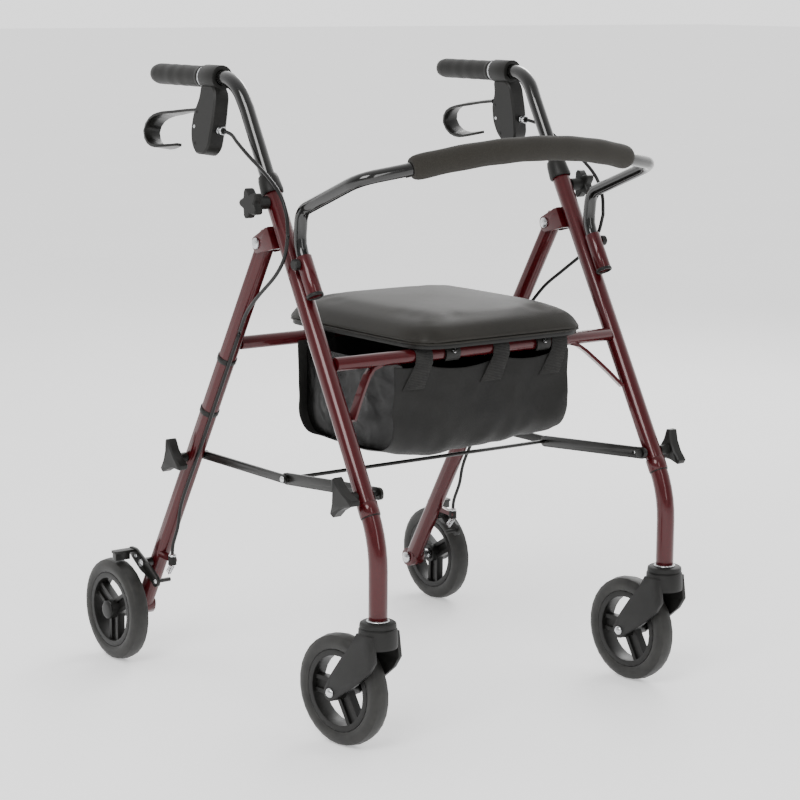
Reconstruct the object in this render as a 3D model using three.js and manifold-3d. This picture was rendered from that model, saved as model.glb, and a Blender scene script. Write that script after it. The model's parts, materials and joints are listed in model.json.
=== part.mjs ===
// A folding four-wheeled rollator walker with a seat, a bag, a backrest strap bar and loop brakes.
// Millimetres, +Z up, the casters point to -Y and the user's left is +X.
// The floor is z = 0 and the origin lies under the middle of the walker.

import * as THREE from 'three';
import { mergeVertices } from 'three/addons/utils/BufferGeometryUtils.js';
import Module from 'manifold-3d';

const wasm = await Module();
wasm.setup();

// ---- driving dimensions ----

const GAP = 0.4;                    // running gap between separate pieces
const LEG_X = 255;                  // centre plane of the legs, either side
const LEG_R = 12.7;                 // 1 inch tube
const LEG_BORE_R = 11.0;
const HANDLE_R = 10.5;
const RAIL_R = 9.5;
const RAIL_Z = 502;
const RAIL_HALF = LEG_X - LEG_R - GAP;

const WHEEL_R = 76.2;               // 6 inch wheels
const TYRE_HALF = 14;
const TYRE_INNER_R = 56;
const REAR_WHEEL_X = 301.7;
const CASTER_Y = -318.8;
const CASTER_TRAIL = 63.1;
const CASTER_SWIVEL_DEG = { right: 8.6, left: 2.8 };
const FORK_TOP_Z = 181;
const FORK_ARM_X = 23;
const BEND_Z = 287;                 // where the front leg turns down into its caster stem
const BEND_R = 150;

const FRONT_SLOPE = 0.56;           // y per z of the front legs
const REAR_SLOPE = -0.5756;         // y per z of the rear legs
const frontLegY = (z) => -143.1 - FRONT_SLOPE * (600 - z);
const rearLegY = (z) => -31.9 - REAR_SLOPE * (600 - z);
const UP_FRONT = new THREE.Vector3(0, FRONT_SLOPE, 1).normalize();
const UP_REAR = new THREE.Vector3(0, REAR_SLOPE, 1).normalize();

const PIVOT_Z = 651;                // the rear frame folds about this bolt
const COLLAR_Z = 717.7;             // lower edge of the collar that guides the handle tube
const STAR_KNOB_Z = 707.5;
const HANDLE_IN_LEG = 230;
const HANDLE_BORE = 330;

const GRIP_X = 258;
const GRIP_Z = 868;
const GRIP_START_Y = 84;
const GRIP_END_Y = 215;
const GRIP_R = 14.6;
const BRAKE_SWING_DEG = 9;          // the brake handle leans outward about the grip
const LEVER_PIVOT = { y: 62, w: -46 };

const BRACE_FRONT_Z = 342.5;
const BRACE_REAR_Z = 326.4;
const BRACE_MID = { y: -78.8, z: 326 };
const FRONT_LINK_X = 233.5;         // middle planes of the two flat bars
const REAR_LINK_X = 238.3;
const LINK_T = 4;
const STUD_R = 3;

const SLEEVE_OFFSET = 24.5;         // from the front leg's axis to the backrest sleeve's axis
const SLEEVE_R = 11.2;
const BACKREST_R = 9;
const PAD_R = 17;
const PAD_HALF = 186;

const SEAT = { x: 24, yFront: -241.8, yRear: 98, width: 300, corner: 50, z: 519.4, height: 38 };
const BOARD_T = 5.2;
const CLIP_X = [-52, 110];
const BAG = { x0: -152, x1: 158, y0: -214, y1: 15.2, z0: 368, z1: 492, wall: 2.5, corner: 34 };
const STRAP = { width: 28, t: 1.2, frontX: [-101, 34, 140], rearX: [-101, 120] };

const CABLE_R = 2.5;
const CABLE_X = 262;
const CABLE_OFFSET = 16;            // the lower cable lies this far in front of the rear leg's axis
const CABLE_SPLIT_Z = 530;

const BRAKE_PIVOT_Z = 152;
const SHOE_GAP = 1.9;

const FINISH = {
  burgundy: { color: 0x4a0d16, roughness: 0.25, metalness: 0.75 },
  blackTube: { color: 0x0b0b0c, roughness: 0.22, metalness: 0.5 },
  blackPlastic: { color: 0x141415, roughness: 0.5, metalness: 0.0 },
  blackSteel: { color: 0x111112, roughness: 0.4, metalness: 0.6 },
  foam: { color: 0x2b2624, roughness: 0.9, metalness: 0.0 },
  vinyl: { color: 0x2a2524, roughness: 0.55, metalness: 0.0 },
  nylon: { color: 0x121213, roughness: 0.7, metalness: 0.0 },
  tyre: { color: 0x2b2b2c, roughness: 0.8, metalness: 0.0 },
  steel: { color: 0xb9bcc0, roughness: 0.25, metalness: 1.0 },
};

// ---- solids ----

const vec = (x, y, z) => new THREE.Vector3(x, y, z);

function toManifold(geometry) {
  const bare = geometry.clone();
  bare.deleteAttribute('normal');
  bare.deleteAttribute('uv');
  const welded = mergeVertices(bare, 1e-4);
  const mesh = new wasm.Mesh({
    numProp: 3,
    vertProperties: new Float32Array(welded.attributes.position.array),
    triVerts: new Uint32Array(welded.index.array),
  });
  return new wasm.Manifold(mesh);
}

function fromManifold(solid) {
  const mesh = solid.getMesh();
  const geometry = new THREE.BufferGeometry();
  geometry.setAttribute('position', new THREE.BufferAttribute(mesh.vertProperties, 3));
  geometry.setIndex(new THREE.BufferAttribute(mesh.triVerts, 1));
  geometry.computeVertexNormals();
  return geometry;
}

function union(...geometries) {
  return fromManifold(geometries.map(toManifold).reduce((sum, part) => sum.add(part)));
}

function cut(geometry, ...tools) {
  const solid = toManifold(geometry);
  return fromManifold(tools.map(toManifold).reduce((rest, tool) => rest.subtract(tool), solid));
}

// The left side is modelled; the right side is its mirror image.
function forSide(geometry, side) {
  if (side === 'left') {
    return geometry;
  }
  return fromManifold(toManifold(geometry).mirror([1, 0, 0]));
}

// A path through points that are already spaced as the bends need them.
class Route extends THREE.Curve {
  constructor(points) {
    super();
    this.points = points;
  }

  index(u) {
    return Math.round(u * (this.points.length - 1));
  }

  getPoint(u) {
    return this.points[this.index(u)].clone();
  }

  getPointAt(u) {
    return this.getPoint(u);
  }

  getSpacedPoints() {
    return this.points.map((point) => point.clone());
  }

  getTangentAt(u) {
    const i = this.index(u);
    const last = this.points.length - 1;
    const before = this.points[Math.max(i - 1, 0)];
    const here = this.points[i];
    const after = this.points[Math.min(i + 1, last)];
    const into = here.clone().sub(before).normalize();
    const out = after.clone().sub(here).normalize();
    return into.add(out).normalize();
  }
}

// Straight runs joined by round bends: corners are [point, bend radius].
function bent(corners, stepDeg = 14) {
  const points = [corners[0][0]];
  for (let i = 1; i < corners.length - 1; i += 1) {
    const [corner, radius] = corners[i];
    const back = corners[i - 1][0].clone().sub(corner).normalize();
    const ahead = corners[i + 1][0].clone().sub(corner).normalize();
    const half = back.angleTo(ahead) / 2;
    const turn = Math.PI - 2 * half;
    const middle = back.clone().add(ahead).normalize();
    const centre = corner.clone().addScaledVector(middle, radius / Math.sin(half));
    const axis = back.clone().cross(ahead).normalize();
    const first = corner.clone().addScaledVector(back, radius / Math.tan(half)).sub(centre);
    const steps = Math.max(2, Math.ceil(THREE.MathUtils.radToDeg(turn) / stepDeg));
    for (let k = 0; k <= steps; k += 1) {
      points.push(first.clone().applyAxisAngle(axis, -turn * (k / steps)).add(centre));
    }
  }
  points.push(corners[corners.length - 1][0]);
  return points;
}

function disc(radius, sides) {
  const shape = new THREE.Shape();
  for (let k = 0; k < sides; k += 1) {
    const angle = (2 * Math.PI * k) / sides;
    const move = k === 0 ? 'moveTo' : 'lineTo';
    shape[move](radius * Math.cos(angle), radius * Math.sin(angle));
  }
  shape.closePath();
  return shape;
}

function sweep(shape, points) {
  return new THREE.ExtrudeGeometry(shape, { steps: points.length - 1, extrudePath: new Route(points) });
}

function pipe(points, radius, sides = 16) {
  return sweep(disc(radius, sides), points);
}

function curvePoints(points, count) {
  return new THREE.CatmullRomCurve3(points, false, 'centripetal').getSpacedPoints(count);
}

function rod(from, to, radius, sides = 14) {
  const length = from.distanceTo(to);
  const geometry = new THREE.CylinderGeometry(radius, radius, length, sides);
  const turn = new THREE.Quaternion().setFromUnitVectors(vec(0, 1, 0), to.clone().sub(from).normalize());
  geometry.applyQuaternion(turn);
  const middle = from.clone().add(to).multiplyScalar(0.5);
  return geometry.translate(middle.x, middle.y, middle.z);
}

function rodX(x0, x1, y, z, radius, sides = 12) {
  return rod(vec(x0, y, z), vec(x1, y, z), radius, sides);
}

// A turned piece: profile is [distance along the axis, radius], from the axis back to the axis or closed.
function turned(profile, axis, sides = 16) {
  const outline = profile.map(([along, radius]) => new THREE.Vector2(radius, along));
  const geometry = new THREE.LatheGeometry(outline, sides);
  const turn = new THREE.Quaternion().setFromUnitVectors(vec(0, 1, 0), axis);
  return geometry.applyQuaternion(turn);
}

function closedRing(profile) {
  return [...profile, profile[0]];
}

// A plate with its outline in (y, z) and its thickness from x0 to x1.
function plateX(shape, x0, x1, bevel = 0) {
  const geometry = new THREE.ExtrudeGeometry(shape, {
    depth: x1 - x0 - 2 * bevel,
    curveSegments: 3,
    bevelEnabled: bevel > 0,
    bevelThickness: bevel,
    bevelSize: bevel,
    bevelOffset: -bevel,
    bevelSegments: 1,
  });
  const toYZ = new THREE.Matrix4().set(0, 0, 1, x0 + bevel, 1, 0, 0, 0, 0, 1, 0, 0, 0, 0, 0, 1);
  return geometry.applyMatrix4(toYZ);
}

// A polygon with every corner rounded by up to the given radius.
function rounded(corners, radius) {
  const points = corners.map(([a, b]) => new THREE.Vector2(a, b));
  const shape = new THREE.Shape();
  points.forEach((corner, i) => {
    const before = points[(i + points.length - 1) % points.length];
    const after = points[(i + 1) % points.length];
    const reach = Math.min(radius, corner.distanceTo(before) / 2.1, corner.distanceTo(after) / 2.1);
    const start = corner.clone().add(before.clone().sub(corner).setLength(reach));
    const end = corner.clone().add(after.clone().sub(corner).setLength(reach));
    if (i === 0) {
      shape.moveTo(start.x, start.y);
    } else {
      shape.lineTo(start.x, start.y);
    }
    shape.quadraticCurveTo(corner.x, corner.y, end.x, end.y);
  });
  shape.closePath();
  return shape;
}

function box(x0, x1, y0, y1, z0, z1) {
  const geometry = new THREE.BoxGeometry(x1 - x0, y1 - y0, z1 - z0);
  return geometry.translate((x0 + x1) / 2, (y0 + y1) / 2, (z0 + z1) / 2);
}

// A flat block with rounded corners in plan.
function slab(x0, x1, y0, y1, z0, z1, corner, bevel = 0) {
  const outline = rounded([[x0, y0], [x1, y0], [x1, y1], [x0, y1]], corner);
  const geometry = new THREE.ExtrudeGeometry(outline, {
    depth: z1 - z0 - 2 * bevel,
    curveSegments: 5,
    bevelEnabled: bevel > 0,
    bevelThickness: bevel,
    bevelSize: bevel,
    bevelOffset: -bevel,
    bevelSegments: 2,
  });
  return geometry.translate(0, 0, z0 + bevel);
}

function piece(name, geometry, finish) {
  const mesh = new THREE.Mesh(geometry, new THREE.MeshStandardMaterial(FINISH[finish]));
  mesh.name = name;
  return mesh;
}

const PIVOT_Y = rearLegY(PIVOT_Z);
const AXLE_Y = rearLegY(WHEEL_R);
const alongFront = (z, distance) => vec(LEG_X, frontLegY(z), z).addScaledVector(UP_FRONT, distance);

// ---- front frame ----

function frontLeg() {
  const top = alongFront(COLLAR_Z, 9.6);
  const stem = vec(LEG_X, frontLegY(BEND_Z), BEND_Z);
  const foot = vec(LEG_X, CASTER_Y, FORK_TOP_Z + GAP);
  const tube = pipe(bent([[top], [stem, BEND_R], [foot]], 6), LEG_R, 18);
  const boreFoot = top.clone().addScaledVector(UP_FRONT, -HANDLE_BORE);
  const bore = rod(boreFoot, top.clone().addScaledVector(UP_FRONT, 5), LEG_BORE_R, 18);
  const starHole = rodX(LEG_X, LEG_X + 20, frontLegY(STAR_KNOB_Z), STAR_KNOB_Z, STUD_R + GAP);
  const braceHole = rodX(LEG_X - 20, LEG_X + 20, frontLegY(BRACE_FRONT_Z), BRACE_FRONT_Z, STUD_R + GAP);
  const stemHole = rod(vec(LEG_X, CASTER_Y, 170), vec(LEG_X, CASTER_Y, 222), 5.4);
  return cut(tube, bore, starHole, braceHole, stemHole);
}

function legCollar() {
  const profile = [
    [0, 13.1], [0, 15.6], [4, 16], [20, 14.6], [27, 13], [27, 11.2], [10.2, 11.2], [10.2, 13.1],
  ];
  const ring = turned(closedRing(profile), UP_FRONT);
  return ring.translate(LEG_X, frontLegY(COLLAR_Z), COLLAR_Z);
}

function frontRail() {
  const y = frontLegY(RAIL_Z) - 4.8;
  const parts = [rodX(-RAIL_HALF, RAIL_HALF, y, RAIL_Z, RAIL_R)];
  for (const sign of [-1, 1]) {
    const strip = curvePoints([
      vec(sign * 168, y, 495), vec(sign * 185, y - 2, 490), vec(sign * 200, y - 9.5, 476),
      vec(sign * 220, y - 22, 454.5), vec(sign * 239, y - 34.5, 431.5),
    ], 7);
    const section = rounded([[-6, -2.2], [6, -2.2], [6, 2.2], [-6, 2.2]], 0.2);
    parts.push(sweep(section, strip));
  }
  return union(...parts);
}

function pivotBracket() {
  const back = vec(0, UP_FRONT.z, -UP_FRONT.y);
  const behindLeg = (z, distance) => vec(LEG_X, frontLegY(z), z).addScaledVector(back, distance);
  const low = behindLeg(653.4, LEG_R + GAP);
  const high = behindLeg(682.4, LEG_R + GAP);
  const outline = rounded([
    [low.y, low.z], [-58.5, 636.5], [-50, 647], [-50, 657], [high.y, high.z],
  ], 5);
  const inner = LEG_X - LEG_R - GAP;
  const outer = LEG_X + LEG_R + GAP;
  const web = new THREE.BoxGeometry(2 * LEG_R + 4, 3, low.distanceTo(high) - 1);
  web.rotateX(-Math.atan(FRONT_SLOPE));
  const centre = low.clone().add(high).multiplyScalar(0.5).addScaledVector(back, 1.5);
  web.translate(centre.x, centre.y, centre.z);
  const body = union(plateX(outline, inner - 3, inner), plateX(outline, outer, outer + 3), web);
  return cut(body, rodX(inner - 20, outer + 20, PIVOT_Y, PIVOT_Z, 4 + GAP));
}

function pivotBolt() {
  const inner = LEG_X - LEG_R - GAP - 3;
  const outer = LEG_X + LEG_R + GAP + 3;
  const profile = [
    [inner - 4.4, 0], [inner - 4, 5], [inner - 2.6, 7.4], [inner - GAP, 8], [inner - GAP, 4],
    [outer + GAP, 4], [outer + GAP, 8], [outer + 2.6, 7.4], [outer + 4, 5], [outer + 4.4, 0],
  ];
  return turned(profile, vec(1, 0, 0)).translate(0, PIVOT_Y, PIVOT_Z);
}

// The sleeve runs beside the front leg; distances are along it from the level of the plunger button.
const SLEEVE_BASE = alongFront(635, 0).add(vec(0, -UP_FRONT.z, UP_FRONT.y).multiplyScalar(SLEEVE_OFFSET));
const onSleeve = (distance) => SLEEVE_BASE.clone().addScaledVector(UP_FRONT, distance);
const PLUNGER_AT = -18;

function backrestSleeve() {
  const tube = rod(onSleeve(-64), onSleeve(-8), SLEEVE_R, 18);
  const bore = rod(onSleeve(-70), onSleeve(0), BACKREST_R + GAP, 18);
  const at = onSleeve(PLUNGER_AT);
  return cut(tube, bore, rodX(at.x, at.x + 20, at.y, at.z, 2.6 + GAP, 16));
}

function plunger() {
  const at = onSleeve(PLUNGER_AT);
  const tip = BACKREST_R + 2 * GAP;
  const face = SLEEVE_R + GAP;
  const profile = [
    [tip, 0], [tip, 2.6], [face, 2.6], [face, 6.8], [face + 1.5, 7.5], [face + 7, 7.5], [face + 8.5, 6],
    [face + 8.5, 0],
  ];
  return turned(profile, vec(1, 0, 0), 20).translate(at.x, at.y, at.z);
}

function storageBag() {
  const { x0, x1, y0, y1, z0, z1, wall, corner } = BAG;
  const profile = (inset) => {
    const low = z0 + inset;
    const shape = new THREE.Shape();
    shape.moveTo(y0 + inset, z1 + (inset ? 10 : 0));
    shape.lineTo(y0 + inset, low + corner);
    shape.quadraticCurveTo(y0 + inset, low, y0 + inset + corner, low);
    shape.lineTo(y1 - inset - corner, low);
    shape.quadraticCurveTo(y1 - inset, low, y1 - inset, low + corner);
    shape.lineTo(y1 - inset, z1 + (inset ? 10 : 0));
    shape.closePath();
    return shape;
  };
  const shell = cut(plateX(profile(0), x0, x1), plateX(profile(wall), x0 + wall, x1 - wall));
  const parts = [shell];
  const loop = (x, y, wallY) => {
    const inner = RAIL_R + GAP;
    const half = STRAP.width / 2;
    const ring = rodX(x - half, x + half, y, RAIL_Z, inner + STRAP.t, 12);
    const hole = rodX(x - STRAP.width, x + STRAP.width, y, RAIL_Z, inner, 12);
    const tail = box(x - half, x + half, wallY - STRAP.t, wallY + STRAP.t / 2, z1 - 24, RAIL_Z);
    return [cut(ring, hole), tail];
  };
  const reach = RAIL_R + GAP + STRAP.t / 2;
  for (const x of STRAP.frontX) {
    const y = frontLegY(RAIL_Z) - 4.8;
    parts.push(...loop(x, y, y - reach));
  }
  for (const x of STRAP.rearX) {
    const y = rearLegY(RAIL_Z);
    parts.push(...loop(x, y, y - reach));
  }
  return union(...parts);
}

// ---- handles and hand brakes ----

function handleTube() {
  const bottom = alongFront(COLLAR_Z, 9.6 - HANDLE_IN_LEG);
  const top = vec(LEG_X, frontLegY(GRIP_Z), GRIP_Z);
  const corner = vec(GRIP_X, frontLegY(GRIP_Z) + 1, GRIP_Z);
  const lean = top.clone().addScaledVector(UP_FRONT, -46);
  const path = bent([[bottom], [lean, 60], [corner, 52], [vec(GRIP_X, GRIP_END_Y - 5, GRIP_Z)]], 9);
  return pipe(path, HANDLE_R, 14);
}

function handGrip() {
  const length = GRIP_END_Y - GRIP_START_Y;
  const bore = HANDLE_R + GAP;
  const ridges = 4;
  const pitch = (length - 26) / ridges;
  const profile = [
    [length, 0], [length - 4, 0], [length - 4, bore], [0, bore], [0, GRIP_R - 1], [2, GRIP_R + 0.6],
  ];
  for (let k = 0; k < ridges; k += 1) {
    const at = 8 + k * pitch;
    profile.push([at, GRIP_R], [at + pitch / 2, GRIP_R - 1.1]);
  }
  profile.push([length - 10, GRIP_R], [length - 3, GRIP_R - 3], [length, 6]);
  return turned(closedRing(profile), vec(0, 1, 0)).translate(GRIP_X, GRIP_START_Y, GRIP_Z);
}

// Brake pieces are drawn upright about the grip's axis, w up from it, then swung outward.
function swung(geometry) {
  geometry.rotateY(THREE.MathUtils.degToRad(-BRAKE_SWING_DEG));
  return geometry.translate(GRIP_X, 0, GRIP_Z);
}

function brakeHousing() {
  const outline = rounded([
    [35, -24], [43, -12], [75, -12], [75, -30], [85, -52], [86, -76], [80, -94], [68, -107], [46, -107],
    [36, -97], [33, -60],
  ], 7);
  const shell = plateX(outline, -12.5, 12.5, 2.5);
  const clamp = rod(vec(0, 41, 0), vec(0, 78, 0), 17, 18);
  const ferrule = rod(vec(0, 20, -72), vec(0, 40, -72), 4.2, 10);
  const bore = rod(vec(0, 20, 0), vec(0, 95, 0), HANDLE_R + GAP, 16);
  const slot = box(-5, 5, 50, 95, -58, -33);
  const pin = rodX(-8, 8, LEVER_PIVOT.y, LEVER_PIVOT.w, 2.4, 14);
  return swung(union(cut(union(shell, clamp, ferrule), bore, slot), pin));
}

// The lever's band is widest at its outer bend and narrows along both arms.
function bandShare(y, w) {
  const [narrow, from, to] = w > -80 ? [0.42, 96, 184] : [0.3, 129, 162];
  return THREE.MathUtils.lerp(narrow, 1, THREE.MathUtils.smoothstep(y, from, to));
}

function brakeLever() {
  const line = curvePoints([
    vec(0, 90, -46.5), vec(0, 116, -49), vec(0, 145, -53), vec(0, 174, -57), vec(0, 196, -65),
    vec(0, 207, -80), vec(0, 200, -95), vec(0, 180, -103), vec(0, 154, -101), vec(0, 129, -97),
  ], 20);
  const offset = (i, distance) => {
    const before = line[Math.max(i - 1, 0)];
    const after = line[Math.min(i + 1, line.length - 1)];
    const along = after.clone().sub(before).normalize();
    return new THREE.Vector2(line[i].y - along.z * distance, line[i].z + along.y * distance);
  };
  const upper = line.map((_, i) => offset(i, 1.9));
  const lower = line.map((_, i) => offset(i, -1.9)).reverse();
  const band = plateX(new THREE.Shape([...upper, ...lower]), -13, 13);
  const corners = band.attributes.position;
  for (let i = 0; i < corners.count; i += 1) {
    corners.setX(i, corners.getX(i) * bandShare(corners.getY(i), corners.getZ(i)));
  }
  const tongue = plateX(rounded([[56, -51], [93, -51], [93, -43], [56, -41]], 4), -4, 4);
  const pinHole = rodX(-10, 10, LEVER_PIVOT.y, LEVER_PIVOT.w, 2.4 + GAP, 14);
  return swung(cut(union(band, tongue), pinHole));
}

function starKnob() {
  const lobes = new THREE.Shape();
  const steps = 30;
  for (let k = 0; k < steps; k += 1) {
    const angle = (2 * Math.PI * k) / steps;
    const radius = 17.2 + 4.2 * Math.cos(5 * angle);
    const move = k === 0 ? 'moveTo' : 'lineTo';
    lobes[move](radius * Math.cos(angle), radius * Math.sin(angle));
  }
  lobes.closePath();
  const head = plateX(lobes, LEG_X + 31.5, LEG_X + 45, 1.5);
  const hub = rodX(LEG_X + LEG_R + GAP, LEG_X + 34, 0, 0, 9);
  const stud = rodX(LEG_X + HANDLE_R + 2.5 * GAP, LEG_X + 20, 0, 0, STUD_R);
  return union(head, hub, stud).translate(0, frontLegY(STAR_KNOB_Z), STAR_KNOB_Z);
}

// ---- rear frame and its brakes ----

const AHEAD_OF_REAR_LEG = vec(0, -UP_REAR.z, UP_REAR.y);
const onRearLeg = (z, ahead = 0) => vec(LEG_X, rearLegY(z), z).addScaledVector(AHEAD_OF_REAR_LEG, ahead);
const ADJUSTER = { y: 176, z: 168 };
const BRAKE_PIVOT = { y: rearLegY(BRAKE_PIVOT_Z), z: BRAKE_PIVOT_Z };

function rearLeg() {
  const top = onRearLeg(PIVOT_Z).addScaledVector(UP_REAR, 14);
  const foot = onRearLeg(WHEEL_R).addScaledVector(UP_REAR, -6);
  const tube = rod(foot, top, LEG_R, 20);
  const ear = rodX(LEG_X - LEG_R + 1, LEG_X + LEG_R - 1, AXLE_Y, WHEEL_R, 15);
  const tab = plateX(rounded([[171, 160], [225, 163], [220, 172], [171, 166]], 3), CABLE_X - 5, CABLE_X + 3);
  const onBarrel = (rise) => vec(CABLE_X, ADJUSTER.y, ADJUSTER.z + rise);
  const barrel = rod(onBarrel(-12), onBarrel(3), 4.4, 14);
  const wire = rod(onBarrel(-10), vec(CABLE_X, 187, 141), 1.2, 8);
  return cut(
    union(tube, ear, tab, barrel, wire),
    rodX(LEG_X - 20, LEG_X + 20, PIVOT_Y, PIVOT_Z, 4 + GAP),
    rodX(LEG_X - 20, LEG_X + 20, AXLE_Y, WHEEL_R, 5 + GAP),
    rodX(LEG_X - 20, LEG_X + 20, rearLegY(BRACE_REAR_Z), BRACE_REAR_Z, STUD_R + GAP),
    rodX(LEG_X + 4, LEG_X + 20, BRAKE_PIVOT.y, BRAKE_PIVOT.z, 3.5 + GAP),
  );
}

function rearRail() {
  return rodX(-RAIL_HALF, RAIL_HALF, rearLegY(RAIL_Z), RAIL_Z, RAIL_R);
}

function rearAxleBolt() {
  const inner = LEG_X - LEG_R - GAP;
  const outer = LEG_X + LEG_R + GAP;
  const hub = TYRE_HALF + 1;
  const hubIn = REAR_WHEEL_X - hub;
  const hubOut = REAR_WHEEL_X + hub;
  const profile = [
    [inner - 6, 0], [inner - 5.4, 5], [inner - 3, 8.4], [inner, 9], [inner, 5], [outer, 5], [outer, 9],
    [hubIn - GAP, 9], [hubIn - GAP, 5], [hubOut + GAP, 5], [hubOut + GAP, 13], [hubOut + 2, 12.4],
    [hubOut + 3.4, 8], [hubOut + 4, 0],
  ];
  return turned(profile, vec(1, 0, 0)).translate(0, AXLE_Y, WHEEL_R);
}

function brakeArm() {
  const outline = rounded([
    [184, 138], [182, 126], [192, 121], [208, 132], [232, 139], [257, 155], [265, 162], [263, 170],
    [245, 170], [222, 158], [204, 149],
  ], 5);
  const arm = plateX(outline, 279, 283);
  const over = slab(279.5, REAR_WHEEL_X + TYRE_HALF, 247, 262, 164.5, 168, 4);
  const tyreTop = WHEEL_R + Math.sqrt(WHEEL_R ** 2 - (AXLE_Y - 260) ** 2);
  const shoe = box(REAR_WHEEL_X - 12, REAR_WHEEL_X + 12, 250, 260, tyreTop + SHOE_GAP, 166);
  const flange = rodX(LEG_X + LEG_R + GAP, 280, BRAKE_PIVOT.y, BRAKE_PIVOT.z, 7);
  const stud = rodX(LEG_X + 6, 280, BRAKE_PIVOT.y, BRAKE_PIVOT.z, 3.5, 16);
  const head = rodX(282, 285.5, BRAKE_PIVOT.y, BRAKE_PIVOT.z, 6, 16);
  const hook = rodX(CABLE_X - 4, 281, 190, 131, 3.2, 14);
  return union(arm, over, shoe, flange, stud, head, hook);
}

// ---- wheels ----

function tyre() {
  const side = TYRE_HALF;
  const profile = [
    [-side + 2, TYRE_INNER_R], [-side, TYRE_INNER_R + 5], [-side, WHEEL_R - 9], [-side + 4, WHEEL_R - 2],
    [0, WHEEL_R],
    [side - 4, WHEEL_R - 2], [side, WHEEL_R - 9], [side, TYRE_INNER_R + 5], [side - 2, TYRE_INNER_R],
  ];
  return turned(closedRing(profile), vec(1, 0, 0), 30);
}

function rim(hubHalf, hubR, boreR, turnDeg) {
  const outer = TYRE_INNER_R - GAP;
  const band = [[-12, outer - 8], [-12, outer], [12, outer], [12, outer - 8]];
  const ring = turned(closedRing(band), vec(1, 0, 0), 26);
  const hub = rodX(-hubHalf, hubHalf, 0, 0, hubR, 16);
  const parts = [ring, hub];
  for (let k = 0; k < 3; k += 1) {
    for (const offset of [-9, 9]) {
      const rib = box(-6, 6, offset - 3, offset + 3, hubR - 8, outer - 4);
      rib.rotateX((2 * Math.PI * k) / 3);
      parts.push(rib);
    }
    const web = box(-2.5, 2.5, -9, 9, hubR - 4, outer - 4);
    web.rotateX((2 * Math.PI * k) / 3);
    parts.push(web);
  }
  return cut(union(...parts), rodX(-40, 40, 0, 0, boreR, 16)).rotateX(THREE.MathUtils.degToRad(turnDeg));
}

// The caster is drawn about its stem, trailing towards +Y.
function casterFork() {
  const crownLine = [
    [-50, 0], [-50, 25.4], [-30, 26.6], [-9.5, 25.6], [-8, 23.4], [-6.5, 24.6], [-1.5, 24], [0, 22], [0, 0],
  ];
  const crown = turned(crownLine, vec(0, 0, 1), 24).translate(0, 0, FORK_TOP_Z);
  const stem = rod(vec(0, 0, FORK_TOP_Z - 10), vec(0, 0, FORK_TOP_Z + 38), 5);
  const arm = new THREE.Shape();
  arm.moveTo(-14, FORK_TOP_Z - 14);
  arm.lineTo(-19, FORK_TOP_Z - 48);
  arm.quadraticCurveTo(-14, 112, CASTER_TRAIL - 10, WHEEL_R - 6);
  arm.absarc(CASTER_TRAIL, WHEEL_R, 11.5, Math.PI * 1.2, Math.PI * 2.15, false);
  arm.quadraticCurveTo(58, 112, 24, FORK_TOP_Z - 32);
  arm.lineTo(14, FORK_TOP_Z - 14);
  arm.closePath();
  const parts = [crown, stem];
  for (const sign of [-1, 1]) {
    parts.push(plateX(arm, sign * FORK_ARM_X - 3, sign * FORK_ARM_X + 3));
  }
  const bore = rodX(-40, 40, CASTER_TRAIL, WHEEL_R, 4 + GAP);
  const room = box(-FORK_ARM_X + 3, FORK_ARM_X - 3, -40, 60, 100, FORK_TOP_Z - 33.9);
  return cut(union(...parts), bore, room);
}

function casterAxle() {
  const face = FORK_ARM_X + 3 + GAP;
  const profile = [
    [-face - 3.4, 0], [-face - 2.4, 5], [-face, 7], [-face, 4], [face, 4], [face, 7], [face + 2.4, 5],
    [face + 3.4, 0],
  ];
  return turned(profile, vec(1, 0, 0)).translate(0, CASTER_TRAIL, WHEEL_R);
}

// ---- folding braces ----

function flatBar(from, to, height, ahead, x) {
  const along = Math.atan2(to.z - from.z, to.y - from.y);
  const length = Math.hypot(to.z - from.z, to.y - from.y);
  const half = height / 2;
  const end = length + half;
  const outline = rounded([[-ahead, -half], [end, -half], [end, half], [-ahead, half]], half * 0.95);
  const bar = plateX(outline, x - LINK_T / 2, x + LINK_T / 2);
  bar.rotateX(along);
  return bar.translate(0, from.y, from.z);
}

const BRACE_FRONT = { y: frontLegY(BRACE_FRONT_Z), z: BRACE_FRONT_Z };
const BRACE_REAR = { y: rearLegY(BRACE_REAR_Z), z: BRACE_REAR_Z };

function braceFrontLink() {
  const bar = flatBar(BRACE_FRONT, BRACE_MID, 16.5, 11, FRONT_LINK_X);
  const hole = (y, z, radius) => rodX(FRONT_LINK_X - 9, FRONT_LINK_X + 9, y, z, radius, 16);
  const spare = hole(BRACE_FRONT.y + 14, BRACE_FRONT.z - 1.1, 2.6);
  return cut(bar, hole(BRACE_FRONT.y, BRACE_FRONT.z, STUD_R + GAP), spare);
}

function braceRearLink() {
  const bar = flatBar(BRACE_REAR, BRACE_MID, 12, 8, REAR_LINK_X);
  const rivet = rodX(REAR_LINK_X, REAR_LINK_X + 3.4, BRACE_MID.y, BRACE_MID.z, 5, 16);
  const { y, z } = BRACE_REAR;
  return cut(union(bar, rivet), rodX(REAR_LINK_X - 9, REAR_LINK_X + 9, y, z, STUD_R + GAP, 16));
}

function crossRod() {
  const end = FRONT_LINK_X - LINK_T / 2 - GAP;
  return rodX(-end, end, BRACE_MID.y, BRACE_MID.z, 2.8, 14);
}

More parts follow.
